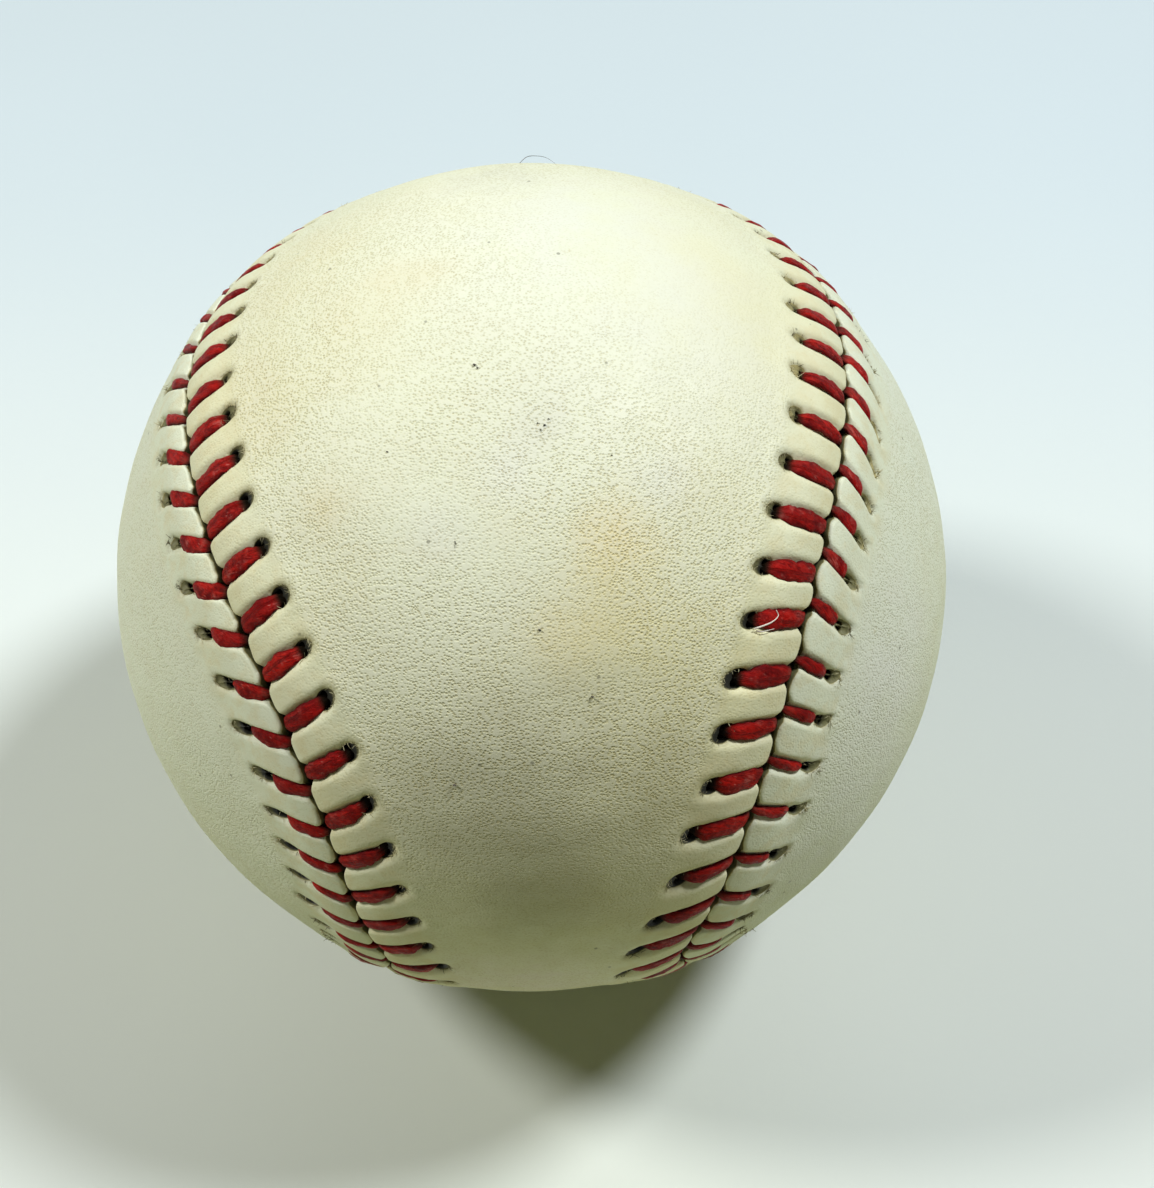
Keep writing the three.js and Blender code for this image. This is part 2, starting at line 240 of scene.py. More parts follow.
def seam_tables():
    t = np.linspace(0, 4 * np.pi, SEAM_SAMPLES + 1)
    polar = np.pi / 2 - (np.pi / 2 - SEAM_WAIST) * np.cos(t)
    azimuth = t / 2 + SEAM_LOBE * np.sin(2 * t)
    out = np.stack(
        [np.sin(polar) * np.cos(azimuth), np.sin(polar) * np.sin(azimuth), np.cos(polar)], -1
    )
    out = out @ TURN.T
    steps = np.linalg.norm(np.diff(out, axis=0), axis=1)
    stations = np.concatenate([[0], np.cumsum(steps)])
    stations *= STITCH_COUNT / stations[-1]
    along = along_curve(out)
    shift = curve(stations, SEAM_WANDER, STITCH_COUNT)[:, None] / BALL_RADIUS
    out = unit(out * np.cos(shift) + np.cross(out, along) * np.sin(shift))
    return stations, out, along_curve(out)


def along_curve(out):
    loop = out[:-1]
    along = unit(np.roll(loop, -1, axis=0) - np.roll(loop, 1, axis=0))
    return np.vstack([along, along[:1]])


SEAM_STATIONS, SEAM_OUT, SEAM_ALONG = seam_tables()


def seam_frame(station):
    """Directions outwards, along the seam and to its left at stations counted in stitches."""
    wrapped = np.mod(station, STITCH_COUNT)

    def look_up(table):
        return np.stack([np.interp(wrapped, SEAM_STATIONS, table[:, k]) for k in range(3)], -1)

    out = unit(look_up(SEAM_OUT))
    along = look_up(SEAM_ALONG)
    along = unit(along - out * np.sum(along * out, -1, keepdims=True))
    return out, along, np.cross(out, along)


def on_ball(station, offset, height):
    """Places at an offset over the sphere from the seam, positive to its left."""
    out, _, left = seam_frame(station)
    angle = np.asarray(offset)[..., None] / BALL_RADIUS
    reach = BALL_RADIUS + np.asarray(height)[..., None]
    return (out * np.cos(angle) + left * np.sin(angle)) * reach


def stitch_stations():
    """Stations of each stitch's dive and hole by side, with the first repeated at the end."""
    index = np.arange(STITCH_COUNT)
    first = index + FIRST_DIVE + curve(index, STITCH_DRIFT, STITCH_COUNT)
    found_dives, found_holes = {}, {}
    right_lag = curve(index, RIGHT_DIVE_LAG, STITCH_COUNT)
    for side, lag, leads in ((LEFT, 0, LEFT_LEAD), (RIGHT, right_lag, RIGHT_LEAD)):
        dive = first + lag / PITCH + rng.normal(0, STATION_JITTER, STITCH_COUNT)
        hole = dive - curve(dive, leads, STITCH_COUNT) / PITCH
        hole += rng.normal(0, STATION_JITTER, STITCH_COUNT)
        found_dives[side] = np.append(dive, dive[0] + STITCH_COUNT)
        found_holes[side] = np.append(hole, hole[0] + STITCH_COUNT)
    return found_dives, found_holes


dives, holes = stitch_stations()


def per_stitch(size, jitter, low, high):
    """A size for each stitch, a little uneven, with the first repeated at the end."""
    values = size + np.clip(rng.normal(0, jitter, STITCH_COUNT), low, high)
    return np.append(values, values[0])


hole_offset, hole_length, hole_width = {}, {}, {}
for side, shifts in ((LEFT, LEFT_HOLE_SHIFT), (RIGHT, RIGHT_HOLE_SHIFT)):
    usual = HOLE_OFFSET + curve(np.arange(STITCH_COUNT), shifts, STITCH_COUNT)
    hole_offset[side] = per_stitch(usual, HOLE_OFFSET_JITTER, -0.25, 0.25)
    hole_length[side] = per_stitch(HOLE_HALF_LENGTH, HOLE_SIZE_JITTER, -0.15, 0.12)
    usual = HOLE_HALF_WIDTH * HOLE_WIDTH_SHARE[side]
    hole_width[side] = per_stitch(usual, HOLE_SIZE_JITTER * 0.7, -0.12, 0.1)


def strand_station(side, stitch, offset):
    """Station of the middle of a strand at a distance from the seam."""
    share = np.clip(offset / hole_offset[side][stitch], 0, 1.2)
    return dives[side][stitch] + (holes[side][stitch] - dives[side][stitch]) * share


def undulating(places, share=1.0):
    """Places on the leather with its own slight unevenness."""
    swell = UNDULATION * ripple(places, 9, 5) * share
    return places * (1 + swell / BALL_RADIUS)[:, None]


# ---- Meshes ----

def make_piece(name, points, faces, material, attributes=None, shade_smooth=True):
    mesh = bpy.data.meshes.new(name)
    mesh.from_pydata((np.asarray(points) * MM).tolist(), [], [list(map(int, f)) for f in faces])
    mesh.update()
    if shade_smooth:
        mesh.shade_smooth()
    for key, values in (attributes or {}).items():
        layer = mesh.attributes.new(key, "FLOAT", "POINT")
        layer.data.foreach_set("value", np.asarray(values, np.float32).ravel())
    mesh.materials.append(material)
    piece = bpy.data.objects.new(name, mesh)
    bpy.context.scene.collection.objects.link(piece)
    return piece


# ---- Cover panels ----

def column_layout():
    """Share of the way from one strand to the next for each column of a stitch."""
    near = np.array(COLUMN_OFFSETS) / PITCH
    return np.concatenate([near, [0.5], 1 - near[:0:-1]])


COLUMNS = column_layout()
HOLE_COLUMNS = COLUMN_OFFSETS.index(HOLE_HALF_WIDTH)


class PanelBuilder:
    """Leather of one panel: the worked strip along the seam, its open field and its inner face."""

    def __init__(self, side):
        self.side = side
        self.count = STITCH_COUNT * len(COLUMNS)
        self.stitch = np.repeat(np.arange(STITCH_COUNT), len(COLUMNS))
        self.share = np.tile(COLUMNS, STITCH_COUNT)
        past_half = self.share > 0.5
        self.near = self.stitch + past_half
        self.across = (self.share - past_half) * PITCH
        self.centre = hole_offset[side][self.near]
        self.half_length = hole_length[side][self.near]
        self.half_width = hole_width[side][self.near]
        self.points = []
        self.marks = {"soil_and_shade": [], "lip": [], "rim": []}
        self.faces = []
        self.total = 0

    def add(self, points, soil_and_shade=0.0, lip=1.0, rim=0.0):
        first = self.total
        count = len(points)
        self.points.append(points)
        for key, value in (("soil_and_shade", soil_and_shade), ("lip", lip), ("rim", rim)):
            self.marks[key].append(np.broadcast_to(np.asarray(value, float), (count,)))
        self.total += count
        return first + np.arange(count)

    def station(self, offset):
        """Stations of the columns at distances from the seam, from one strand to the next."""
        before = strand_station(self.side, self.stitch, offset)
        after = strand_station(self.side, self.stitch + 1, offset)
        return before + (after - before) * self.share

    def worked(self, offset):
        """Offsets, stations and distances across the strand of one row, bent round the holes."""
        x = self.across / HOLE_HALF_WIDTH
        y = (offset - self.centre) / self.half_length
        size = np.maximum(np.maximum(np.abs(x), np.abs(y)), 1e-6)
        across, along = x / size, y / size
        pull = 1 - smooth(1, HOLE_SPREAD, size)
        round_x = x + (across * np.sqrt(1 - along**2 / 2) * size - x) * pull
        round_y = y + (along * np.sqrt(1 - across**2 / 2) * size - y) * pull
        new_offset = self.centre + round_y * self.half_length
        width = HOLE_HALF_WIDTH + (self.half_width - HOLE_HALF_WIDTH) * pull
        slide = round_x * width - self.across
        lean = curve(self.near, HOLE_SLANT[self.side], STITCH_COUNT)
        lean = lean * np.clip(round_y, 0, 1.5) * pull
        station = self.station(new_offset) + (slide + lean) / PITCH
        return new_offset, station, np.abs(round_x * width), np.hypot(round_x, round_y), round_y

    def lip_height(self, offset, across):
        """Height over plain leather: a tongue between strands, and a groove under each."""
        tongue = curve(offset, TONGUE_HEIGHT[self.side])
        pressed = 1 - smooth(*GROOVE_EDGES[self.side], across)
        pressed *= 1 - smooth(*GROOVE_END[self.side], offset)
        return tongue + (curve(offset, GROOVE_HEIGHT) - tongue) * pressed

    def place(self, offset, station, height):
        places = on_ball(station, self.side * offset, height)
        return undulating(places, smooth(*UNDULATION_START, offset))

    def outer_row(self, offset):
        """A row of the outside, turned in and stained at the holes' rims and puckered past them."""
        new_offset, station, across, closeness, outwards = self.worked(offset)
        turned_in = 1 - smooth(0.95, 1.3, closeness)
        pucker = bell(closeness, 1.75, 0.45) * smooth(0.2, 1.2, outwards)
        height = self.lip_height(new_offset, across) - RIM_TURN_IN * turned_in + PUCKER * pucker
        stain = RIM_STAIN * bell(closeness, 1, 0.35) * smooth(-0.6, 0.8, outwards)
        rim = np.maximum(stain, bell(closeness, 1, 0.16))
        lip = 1 - smooth(*LIP_END, new_offset)
        return self.add(self.place(new_offset, station, height), 0.0, lip, rim)

    def inner_row(self, offset):
        new_offset, station, _, _, _ = self.worked(offset)
        height = LIP_INSIDE * (1 - smooth(*LIP_INSIDE_END, new_offset)) - LEATHER_THICKNESS
        # Painted shade inside the hole, by stitch.
        hole_shade = curve(self.near, HOLE_PAINTED_SHADE[self.side], STITCH_COUNT)
        soil_and_shade = INNER_SOIL_AND_SHADE[0] + (INNER_SOIL_AND_SHADE[1] - INNER_SOIL_AND_SHADE[0]) * hole_shade
        return self.add(self.place(new_offset, station, height), soil_and_shade)

    def blended_offset(self, offset):
        """Rows near the holes shift with them, so that no row crosses another."""
        shift = self.centre - HOLE_OFFSET
        if offset < HOLE_OFFSET:
            return offset + shift * smooth(0.7, 3.3, offset)
        return offset + shift * (1 - smooth(5.8, 8.4, offset))

    def edge_rows(self):
        """Rounded edge at the seam, from its wall up to the top, notched where strands dive."""
        across = np.abs(self.across)
        notch = EDGE_NOTCH * (1 - smooth(*NOTCH_EDGES, across))
        wobble = EDGE_WOBBLE * ripple(on_ball(self.stitch + self.share, 0, 0), 2.5, 11)
        edge = EDGE_GAP + notch + wobble
        top = self.lip_height(edge + EDGE_ROUNDING, across)
        foot = EDGE_GAP + FOOT_STEP + notch * FOOT_NOTCH
        low = LIP_INSIDE - LEATHER_THICKNESS
        rows = [
            (foot, low, EDGE_SOIL_AND_SHADE[0]),
            (edge, (top - EDGE_ROUNDING + low) / 2, EDGE_SOIL_AND_SHADE[1]),
        ]
        for angle in EDGE_ANGLES:
            swing = math.radians(angle)
            offset = edge + EDGE_ROUNDING * (1 - math.cos(swing))
            height = top - EDGE_ROUNDING * (1 - math.sin(swing))
            rows.append((offset, height, max(0.0, EDGE_SOIL_AND_SHADE[2] - angle / 90)))
        return [self.add(self.place(d, self.station(d), height), soil_and_shade) for d, height, soil_and_shade in rows]

    def quads(self, rows, hole_rows=()):
        """Faces between neighbouring rows, left out inside the holes."""
        column = np.arange(self.count)
        after = (column + 1) % self.count
        place = column % len(COLUMNS)
        in_hole = (place < HOLE_COLUMNS) | (place >= len(COLUMNS) - HOLE_COLUMNS)
        for k in range(len(rows) - 1):
            low, high = rows[k], rows[k + 1]
            keep = ~in_hole if k in hole_rows else np.ones(self.count, bool)
            quad = np.stack([low, low[after], high[after], high], -1)[keep]
            self.faces.append(quad if self.side == LEFT else quad[:, ::-1])

    def hole_loop(self, rows, stitch):
        """Corner indices round one hole, through its first and last rows and its side columns."""
        middle = stitch * len(COLUMNS)
        columns = [(middle + k) % self.count for k in range(-HOLE_COLUMNS, HOLE_COLUMNS + 1)]
        loop = [rows[0][c] for c in columns]
        loop += [row[columns[-1]] for row in rows[1:-1]]
        loop += [rows[-1][c] for c in reversed(columns)]
        loop += [row[columns[0]] for row in reversed(rows[1:-1])]
        return np.array(loop)

    def hole_walls(self, outer_rows, inner_rows):
        everything = np.concatenate(self.points)
        for stitch in range(STITCH_COUNT):
            outer = self.hole_loop(outer_rows, stitch)
            inner = self.hole_loop(inner_rows, stitch)
            top, bottom = everything[outer], everything[inner]
            centre = top.mean(axis=0)
            reach = top - centre
            outwards = self.side * seam_frame(holes[self.side][stitch])[2]
            outwards = np.clip(reach @ outwards / HOLE_HALF_LENGTH, 0, 1)[:, None]
            # Painted shade of this hole's walls.
            hole_shade = curve(stitch, HOLE_PAINTED_SHADE[self.side], STITCH_COUNT)
            pale = 1 - hole_shade
            ledge = 1 + PALE_LEDGE * pale
            sunk = 1 - PALE_LIFT * pale * (0.5 + 0.5 * outwards)
            rings = [outer]
            for shrink, slope, share, pale_soil, dark_soil_and_shade in HOLE_WALLS:
                fall = (bottom - top) * share * sunk
                closed = shrink * (1 - PALE_CLOSING * slope * pale)
                ring = centre + reach * (closed - slope * ledge * outwards) + fall
                soil_and_shade = pale_soil + (dark_soil_and_shade - pale_soil) * hole_shade**2
                rings.append(self.add(ring, soil_and_shade, 1.0, 0.5))
            rings.append(inner)
            for upper, lower in zip(rings, rings[1:]):
                quad = np.stack([upper, np.roll(upper, -1), np.roll(lower, -1), lower], -1)
                self.faces.append(quad[:, ::-1] if self.side == RIGHT else quad)

    def field(self, outer_edge, inner_edge):
        """Open leather beyond the strip, triangulated in a map drawn flat from its middle."""
        pole = TURN @ np.array([0, 0, self.side], float)
        aside = unit(np.cross(pole, [1.0, 0.3, 0.2]))
        forward = np.cross(pole, aside)

        def flat(directions):
            reach = 1 + directions @ pole
            return np.stack([directions @ aside / reach, directions @ forward / reach], -1)

        edge = unit(np.concatenate(self.points)[outer_edge])
        count = int(4 * np.pi * (BALL_RADIUS / FIELD_SPACING) ** 2)
        index = np.arange(count)
        height = 1 - (2 * index + 1) / count
        reach = np.sqrt(1 - height**2)
        angle = index * math.pi * (3 - math.sqrt(5))
        spread = np.stack([reach * np.cos(angle), reach * np.sin(angle), height], -1)
        limit = ROWS_AFTER_HOLE[-1] + FIELD_SPACING * 0.6
        spread = spread[self.side * seam_distance(spread) > limit]
        directions = np.vstack([edge, spread])
        border = [(k, (k + 1) % len(edge)) for k in range(len(edge))]
        flat_points = [Vector(p) for p in flat(directions)]
        _, _, triangles, _, _, _ = delaunay_2d_cdt(flat_points, border, [], 1, 1e-9)
        triangles = np.array(triangles)
        corners = directions[triangles]
        facing = np.cross(corners[:, 1] - corners[:, 0], corners[:, 2] - corners[:, 0])
        inwards = np.sum(facing * corners.mean(axis=1), -1) < 0
        triangles[inwards] = triangles[inwards][:, ::-1]
        places = undulating(spread * BALL_RADIUS)
        outer = np.concatenate([outer_edge, self.add(places, 0.0, 0.0, 0.0)])
        inside = spread * (BALL_RADIUS - LEATHER_THICKNESS)
        inner = np.concatenate([inner_edge, self.add(inside, 1.0, 0.0, 0.0)])
        self.faces.append(outer[triangles])
        self.faces.append(inner[triangles][:, ::-1])

    def build(self, name, material):
        edge = self.edge_rows()
        before = [self.outer_row(self.blended_offset(d)) for d in ROWS_BEFORE_HOLE]
        ends = np.linspace(-1, 1, HOLE_ROWS)
        hole_offsets = [self.centre + self.half_length * y for y in ends]
        through = [self.outer_row(d) for d in hole_offsets]
        after = [self.outer_row(self.blended_offset(d)) for d in ROWS_AFTER_HOLE]
        outer = edge + before + through + after
        first_hole_row = len(edge) + len(before)
        self.quads(outer, range(first_hole_row, first_hole_row + HOLE_ROWS - 1))
        inner_before = [self.inner_row(self.blended_offset(d)) for d in INNER_ROWS_BEFORE]
        inner_through = [self.inner_row(d) for d in hole_offsets]
        inner_after = [self.inner_row(self.blended_offset(d)) for d in ROWS_AFTER_HOLE[1::4]]
        inner = [edge[0]] + inner_before + inner_through + inner_after
        inner = inner[::-1]
        start = len(inner_after)
        self.quads(inner, range(start, start + HOLE_ROWS - 1))
        self.hole_walls(through, inner_through)
        self.field(after[-1], inner_after[-1])
        faces = [f for group in self.faces for f in group.tolist()]
        marks = {key: np.concatenate(values) for key, values in self.marks.items()}
        return make_piece(name, np.concatenate(self.points), faces, material, marks)


def seam_distance(directions):
    """Signed distance of directions from the seam, over the sphere and positive to its left."""
    stations = np.arange(0, STITCH_COUNT, 0.1)
    out, _, left = seam_frame(stations)
    result = np.empty(len(directions))
    for start in range(0, len(directions), 2000):
        part = directions[start : start + 2000]
        closeness = part @ out.T
        nearest = closeness.argmax(axis=1)
        angle = np.arccos(np.clip(closeness.max(axis=1), -1, 1))
        sign = np.sign(np.sum(left[nearest] * part, -1))
        result[start : start + 2000] = sign * angle * BALL_RADIUS
    return result


# ---- Threads ----

# One stitch of a thread from its hole to the other side's hole: distance from the seam on the
# strand's own side, height, half width, half thickness, and the rings up to the next stop.
STRAND_STOPS = [
    (4.4, -1.15, 0.5, 0.24, 2),
    (4.2, -0.75, 0.56, 0.25, 3),
    (3.95, -0.3, 0.68, 0.26, 4),
    (3.5, 0.05, 0.82, 0.27, 4),
    (2.9, 0.2, 0.94, 0.26, 4),
    (2.1, 0.23, 0.98, 0.25, 4),
    (1.25, 0.17, 0.9, 0.25, 3),
    (0.6, 0.02, 0.74, 0.26, 3),
    (0.2, -0.34, 0.54, 0.3, 3),
    (-0.15, -0.8, 0.5, 0.28, 2),
    (-0.9, -1.08, 0.6, 0.22, 2),
    (-2.9, -1.12, 0.7, 0.2, 2),
]
# How far a strand reaches and how wide it is beside these stops, on each side of the seam.
STRAND_REACH = {LEFT: 1.07, RIGHT: 0.92}
STRAND_WIDTH = {
    LEFT: [(0, 0.8), (7, 0.84), (10, 0.8), (13, 0.72), (20, 0.68), (34, 0.7), (38, 0.76),
           (46, 0.76), (50, 0.66), (54, 0.6), (90, 0.8)],
    RIGHT: [(0, 0.5), (9, 0.54), (12, 0.66), (20, 0.68), (36, 0.44), (38.5, 0.48), (40.2, 0.76),
            (45, 0.74), (48, 0.68), (54, 0.62), (90, 0.5)],
}


def thread_stops(first_side):
    """Stops of one thread, with the rings after each and the strand that it belongs to.

    A stop is its place, the direction of the seam there, half width, half thickness, distance
    from the seam and depth.
    """
    stops, rings, strand = [], [], []
    for stitch in range(STITCH_COUNT):
        side = first_side if stitch % 2 == 0 else -first_side
        swell = 1 + rng.normal(0, SWELL_JITTER)
        lift = rng.normal(0, LIFT_JITTER)
        for offset, height, half_width, half_thickness, count in STRAND_STOPS:
            if offset > 0:
                offset *= 1 - (1 - STRAND_REACH[side]) * smooth(0.6, 3.0, offset)
                half_width *= curve(stitch, STRAND_WIDTH[side], STITCH_COUNT)
                shift = hole_offset[side][stitch] - HOLE_OFFSET
                offset = offset + shift * smooth(1.5, 4.5, offset)
                station = strand_station(side, stitch, offset)
                height = height + lift * smooth(0.8, 2.2, offset)
            else:
                share = min(-offset / HOLE_OFFSET, 1)
                goal = holes[-side][stitch + 1]
                station = dives[side][stitch] + (goal - dives[side][stitch]) * share
            place, along = on_ball(station, side * offset, height), seam_frame(station)[1]
            stops.append([*place, *along, half_width * swell, half_thickness, offset, -height])
            rings.append(count)
            strand.append(stitch)
    return np.array(stops), rings, np.array(strand)


def through_stops(values, rings):
    """Catmull-Rom curve through the stops, with a number of samples after each."""
    padded = np.concatenate([2 * values[:1] - values[1:2], values, 2 * values[-1:] - values[-2:-1]])
    samples = []
    for k in range(len(values) - 1):
        a, b, c, d = padded[k : k + 4]
        t = (np.arange(rings[k]) / rings[k])[:, None]
        samples.append(
            0.5 * (2 * b + (c - a) * t + (2 * a - 5 * b + 4 * c - d) * t**2
                   + (3 * b - a - 3 * c + d) * t**3)
        )
    samples.append(values[-1:])
    return np.concatenate(samples)


def tube_faces(rings, sides):
    """Faces between rings of corners and over both ends."""
    ring = np.arange(rings - 1)[:, None] * sides
    here = np.arange(sides)
    after = (here + 1) % sides
    quads = np.stack([ring + here, ring + after, ring + sides + after, ring + sides + here], -1)
    ends = [list(here[::-1]), list(here + (rings - 1) * sides)]
    return quads.reshape(-1, 4).tolist() + ends


def strand_mesh(name, first_side, material):
    stops, rings, strand = thread_stops(first_side)
    path, along, section, reach, depth = np.split(through_stops(stops, rings), [3, 6, 8, 9], axis=1)
    along, reach, depth = unit(along), reach[:, 0], depth[:, 0]
    strand = np.append(np.repeat(strand[:-1], rings[:-1]), strand[-1])
    forward = unit(np.gradient(path, axis=0))
    wide = unit(along - forward * np.sum(along * forward, -1, keepdims=True))
    thick = np.cross(wide, forward)
    run = np.concatenate([[0], np.cumsum(np.linalg.norm(np.diff(path, axis=0), axis=1))])
    turn = np.arange(STRAND_SIDES) / STRAND_SIDES
    angle = 2 * np.pi * (turn - 0.25)
    twist = 2 * np.pi * run / (PLY_TWIST * PLY_COUNT)
    ply = np.cos(PLY_COUNT * (angle[None, :] + twist[:, None]))
    x = np.sign(np.cos(angle)) * np.abs(np.cos(angle)) ** 0.85
    y = np.sign(np.sin(angle)) * np.abs(np.sin(angle)) ** 0.95
    body = 1 + PLY_DEPTH * ply
    centre = path[:, None, :]
    rough = centre + wide[:, None, :] * (x * 0.9)[None, :, None]
    body = body * (1 + 0.1 * ripple(rough, 1.3, 21) + 0.055 * ripple(rough, 0.55, 22))
    points = (
        centre
        + wide[:, None, :] * (x[None, :] * section[:, :1] * body)[..., None]
        + thick[:, None, :] * (y[None, :] * section[:, 1:] * body)[..., None]
    )
    tint = np.random.default_rng(31).uniform(0, 1, STITCH_COUNT)
    wax = 1 - smooth(0.2, 1.3, reach)
    shape = points.shape[:2]
    marks = {
        "run": np.broadcast_to(run[:, None], shape),
        "turn": np.broadcast_to(turn[None, :], shape),
        "tint": np.broadcast_to(tint[strand][:, None], shape),
        "wax": np.broadcast_to(wax[:, None], shape),
        # Painted shade where the strand sinks below the leather and along its flanks.
        "shade": np.broadcast_to(smooth(-0.02, 0.4, depth)[:, None], shape),
        "painted_flank_shade": np.broadcast_to(1 - smooth(0.2, 0.85, np.abs(y))[None, :], shape),
    }
    faces = [face[::-1] for face in tube_faces(*shape)]
    return make_piece(name, points.reshape(-1, 3), faces, material, marks)


# ---- Loose fibres ----

def tube_mesh(name, paths, radii, material, sides=4):
    """Thin tapered tubes along paths of equal length, shape (fibres, stops, 3)."""
    paths = np.asarray(paths, float)
    count, stops, _ = paths.shape
    forward = unit(np.gradient(paths, axis=1))
    aside = unit(np.cross(forward, unit(paths + np.array([0.3, 0.1, 0.2]))))
    over = np.cross(forward, aside)
    angle = 2 * np.pi * np.arange(sides) / sides
    taper = np.linspace(1, 0.35, stops)[None, :, None, None]
    ring = (
        aside[:, :, None, :] * np.cos(angle)[None, None, :, None]
        + over[:, :, None, :] * np.sin(angle)[None, None, :, None]
    )
    points = paths[:, :, None, :] + ring * taper * np.asarray(radii)[:, None, None, None]
    one = tube_faces(stops, sides)
    faces = [[fibre * stops * sides + k for k in face] for fibre in range(count) for face in one]
    return make_piece(name, points.reshape(-1, 3), faces, material)


def rim_fibres():
    """Fibres that stand on the rims of the stitch holes, most of them at the outer end."""
    fibre_rng = np.random.default_rng(77)
    paths, radii = [], []
    t = np.linspace(0, 1, 5)[:, None]
    for side in (LEFT, RIGHT):
        for stitch in np.repeat(np.arange(STITCH_COUNT), FIBRES_PER_HOLE):
            angle = fibre_rng.normal(np.pi / 2, 1.0)
            x = math.cos(angle) * hole_width[side][stitch] * 0.95
            y = math.sin(angle) * hole_length[side][stitch] * 0.95
            offset = hole_offset[side][stitch] + y
            station = strand_station(side, stitch, offset) + x / PITCH
            root = on_ball(station, side * offset, 0.02)
            out, along, left = seam_frame(station)
            lean = along * fibre_rng.normal(0, 0.7) + side * left * fibre_rng.normal(0.1, 0.6)
            length = 0.14 + 0.5 * fibre_rng.uniform() ** 2.2
            bend = along * fibre_rng.normal(0, 0.5) + out * fibre_rng.normal(-0.3, 0.3)
            rise = out * fibre_rng.uniform(0.2, 0.8)
            paths.append(root + (unit(lean + rise) * t + bend * 0.5 * t**2) * length)
            radii.append(fibre_rng.uniform(0.018, 0.042))
    return np.array(paths), np.array(radii)


def hair_paths(hairs):
    """Hairs through places of the frame, each a list of (x, y, height over plain leather)."""
    paths = []
    for hair in hairs:
        stops = np.array([spot_at(*spot) for spot in hair])
        paths.append(through_stops(stops, [4] * (len(hair) - 1)))
    return np.array(paths)


# ---- Materials ----

class Nodes:
    """Short hand for building the nodes of a material or world."""

    def __init__(self, name, kind="materials"):
        self.block = getattr(bpy.data, kind).new(name)
        self.block.use_nodes = True
        self.tree = self.block.node_tree
        self.shader = self.tree.nodes.get("Principled BSDF")

    def add(self, kind, inputs=None, **settings):
        node = self.tree.nodes.new("ShaderNode" + kind)
        for key, value in settings.items():
            setattr(node, key, value)
        for key, value in (inputs or {}).items():
            self.feed(node.inputs[key], value)
        return node

    def feed(self, socket, value):
        if isinstance(value, bpy.types.NodeSocket):
            self.tree.links.new(value, socket)
        elif socket.type == "RGBA":
            socket.default_value = (*value, 1.0)
        else:
            socket.default_value = value

    def place(self):
        return self.add("TexCoord").outputs["Object"]

    def attribute(self, name):
        return self.add("Attribute", attribute_name=name).outputs["Fac"]

    def noise(self, place, scale, detail=3.0, roughness=0.55, out="Fac"):
        sizes = {"Vector": place, "Scale": scale, "Detail": detail, "Roughness": roughness}
        return self.add("TexNoise", sizes).outputs[out]

    def cells(self, place, scale, feature="F1", randomness=1.0):
        sizes = {"Vector": place, "Scale": scale, "Randomness": randomness}
        return self.add("TexVoronoi", sizes, feature=feature).outputs["Distance"]

    def math(self, operation, *values):
        return self.add("Math", dict(enumerate(values)), operation=operation).outputs[0]

    def times(self, a, b):
        return self.math("MULTIPLY", a, b)

    def times_plus(self, a, b, c):
        return self.math("MULTIPLY_ADD", a, b, c)

    def vector(self, operation, inputs, out=0):
        return self.add("VectorMath", inputs, operation=operation).outputs[out]

    def ramp(self, value, low, high, to_low=0.0, to_high=1.0):
        inputs = dict(enumerate((value, low, high, to_low, to_high)))
        return self.add("MapRange", inputs, interpolation_type="SMOOTHSTEP").outputs["Result"]

    def mix(self, share, a, b):
        return self.add("Mix", {0: share, 6: a, 7: b}, data_type="RGBA").outputs[2]

    def tint(self, colour, mask, strength, tone):
        """The colour taken towards a tone by a strength, where the mask is 1."""
        return self.mix(self.times(mask, strength), colour, tone)

    def scaled(self, place, factors, turn=(0.0, 0.0, 0.0)):
        inputs = {"Vector": place, "Scale": factors, "Rotation": turn}
        return self.add("Mapping", inputs).outputs["Vector"]

    def closeness(self, place, centre, radius):
        """1 at a centre given in millimetres, falling softly to 0 at a radius."""
        centre = tuple(float(v) * MM for v in centre)
        return self.ramp(self.vector("DISTANCE", {0: place, 1: centre}, "Value"), radius * MM, 0.0)

    def bump(self, height, distance):
        return self.add("Bump", {"Height": height, "Distance": distance * MM}).outputs["Normal"]

    def seen(self):
        """1 where the camera looks, also by reflection or through glass, and 0 for other light."""
        rays = self.add("LightPath").outputs
        seen = rays["Is Camera Ray"]
        for ray in ("Is Glossy Ray", "Is Transmission Ray"):
            seen = self.math("MAXIMUM", seen, rays[ray])
        return seen

    def finish(self, colour, roughness, normal=None, **plain):
        self.feed(self.shader.inputs["Base Color"], colour)
        self.feed(self.shader.inputs["Roughness"], roughness)
        if normal is not None:
            self.feed(self.shader.inputs["Normal"], normal)
        for key, value in plain.items():
            self.shader.inputs[key.replace("_", " ")].default_value = value
        return self.block


# Camera: where the photograph was taken from, and its frame of 1154 by 1188.
CAMERA_ELEVATION = 52.0
CAMERA_DISTANCE = 162.3
FOCAL_PIXELS = 1761.0
FRAME_WIDTH, FRAME_HEIGHT = 1154, 1188
BALL_CENTRE_PIXEL = (533.5, 578.0)
SENSOR = 36.0


def camera_axes():
    elevation = math.radians(CAMERA_ELEVATION)
    forward = np.array([0, math.cos(elevation), -math.sin(elevation)])
    up = np.array([0, math.sin(elevation), math.cos(elevation)])
    return np.array([1.0, 0, 0]), up, forward


def spot_at(x, y, height=0.0):
    """Place on the ball that shows at a point of the frame."""
    right, up, forward = camera_axes()
    eye = -CAMERA_DISTANCE * forward
    ray = unit(
        forward
        + right * (x - BALL_CENTRE_PIXEL[0]) / FOCAL_PIXELS
        - up * (y - BALL_CENTRE_PIXEL[1]) / FOCAL_PIXELS
    )
    reach = BALL_RADIUS + height
    towards = -(eye @ ray)
    inside = reach**2 - (eye @ eye - towards**2)
    return eye + ray * (towards - math.sqrt(max(inside, 0)))
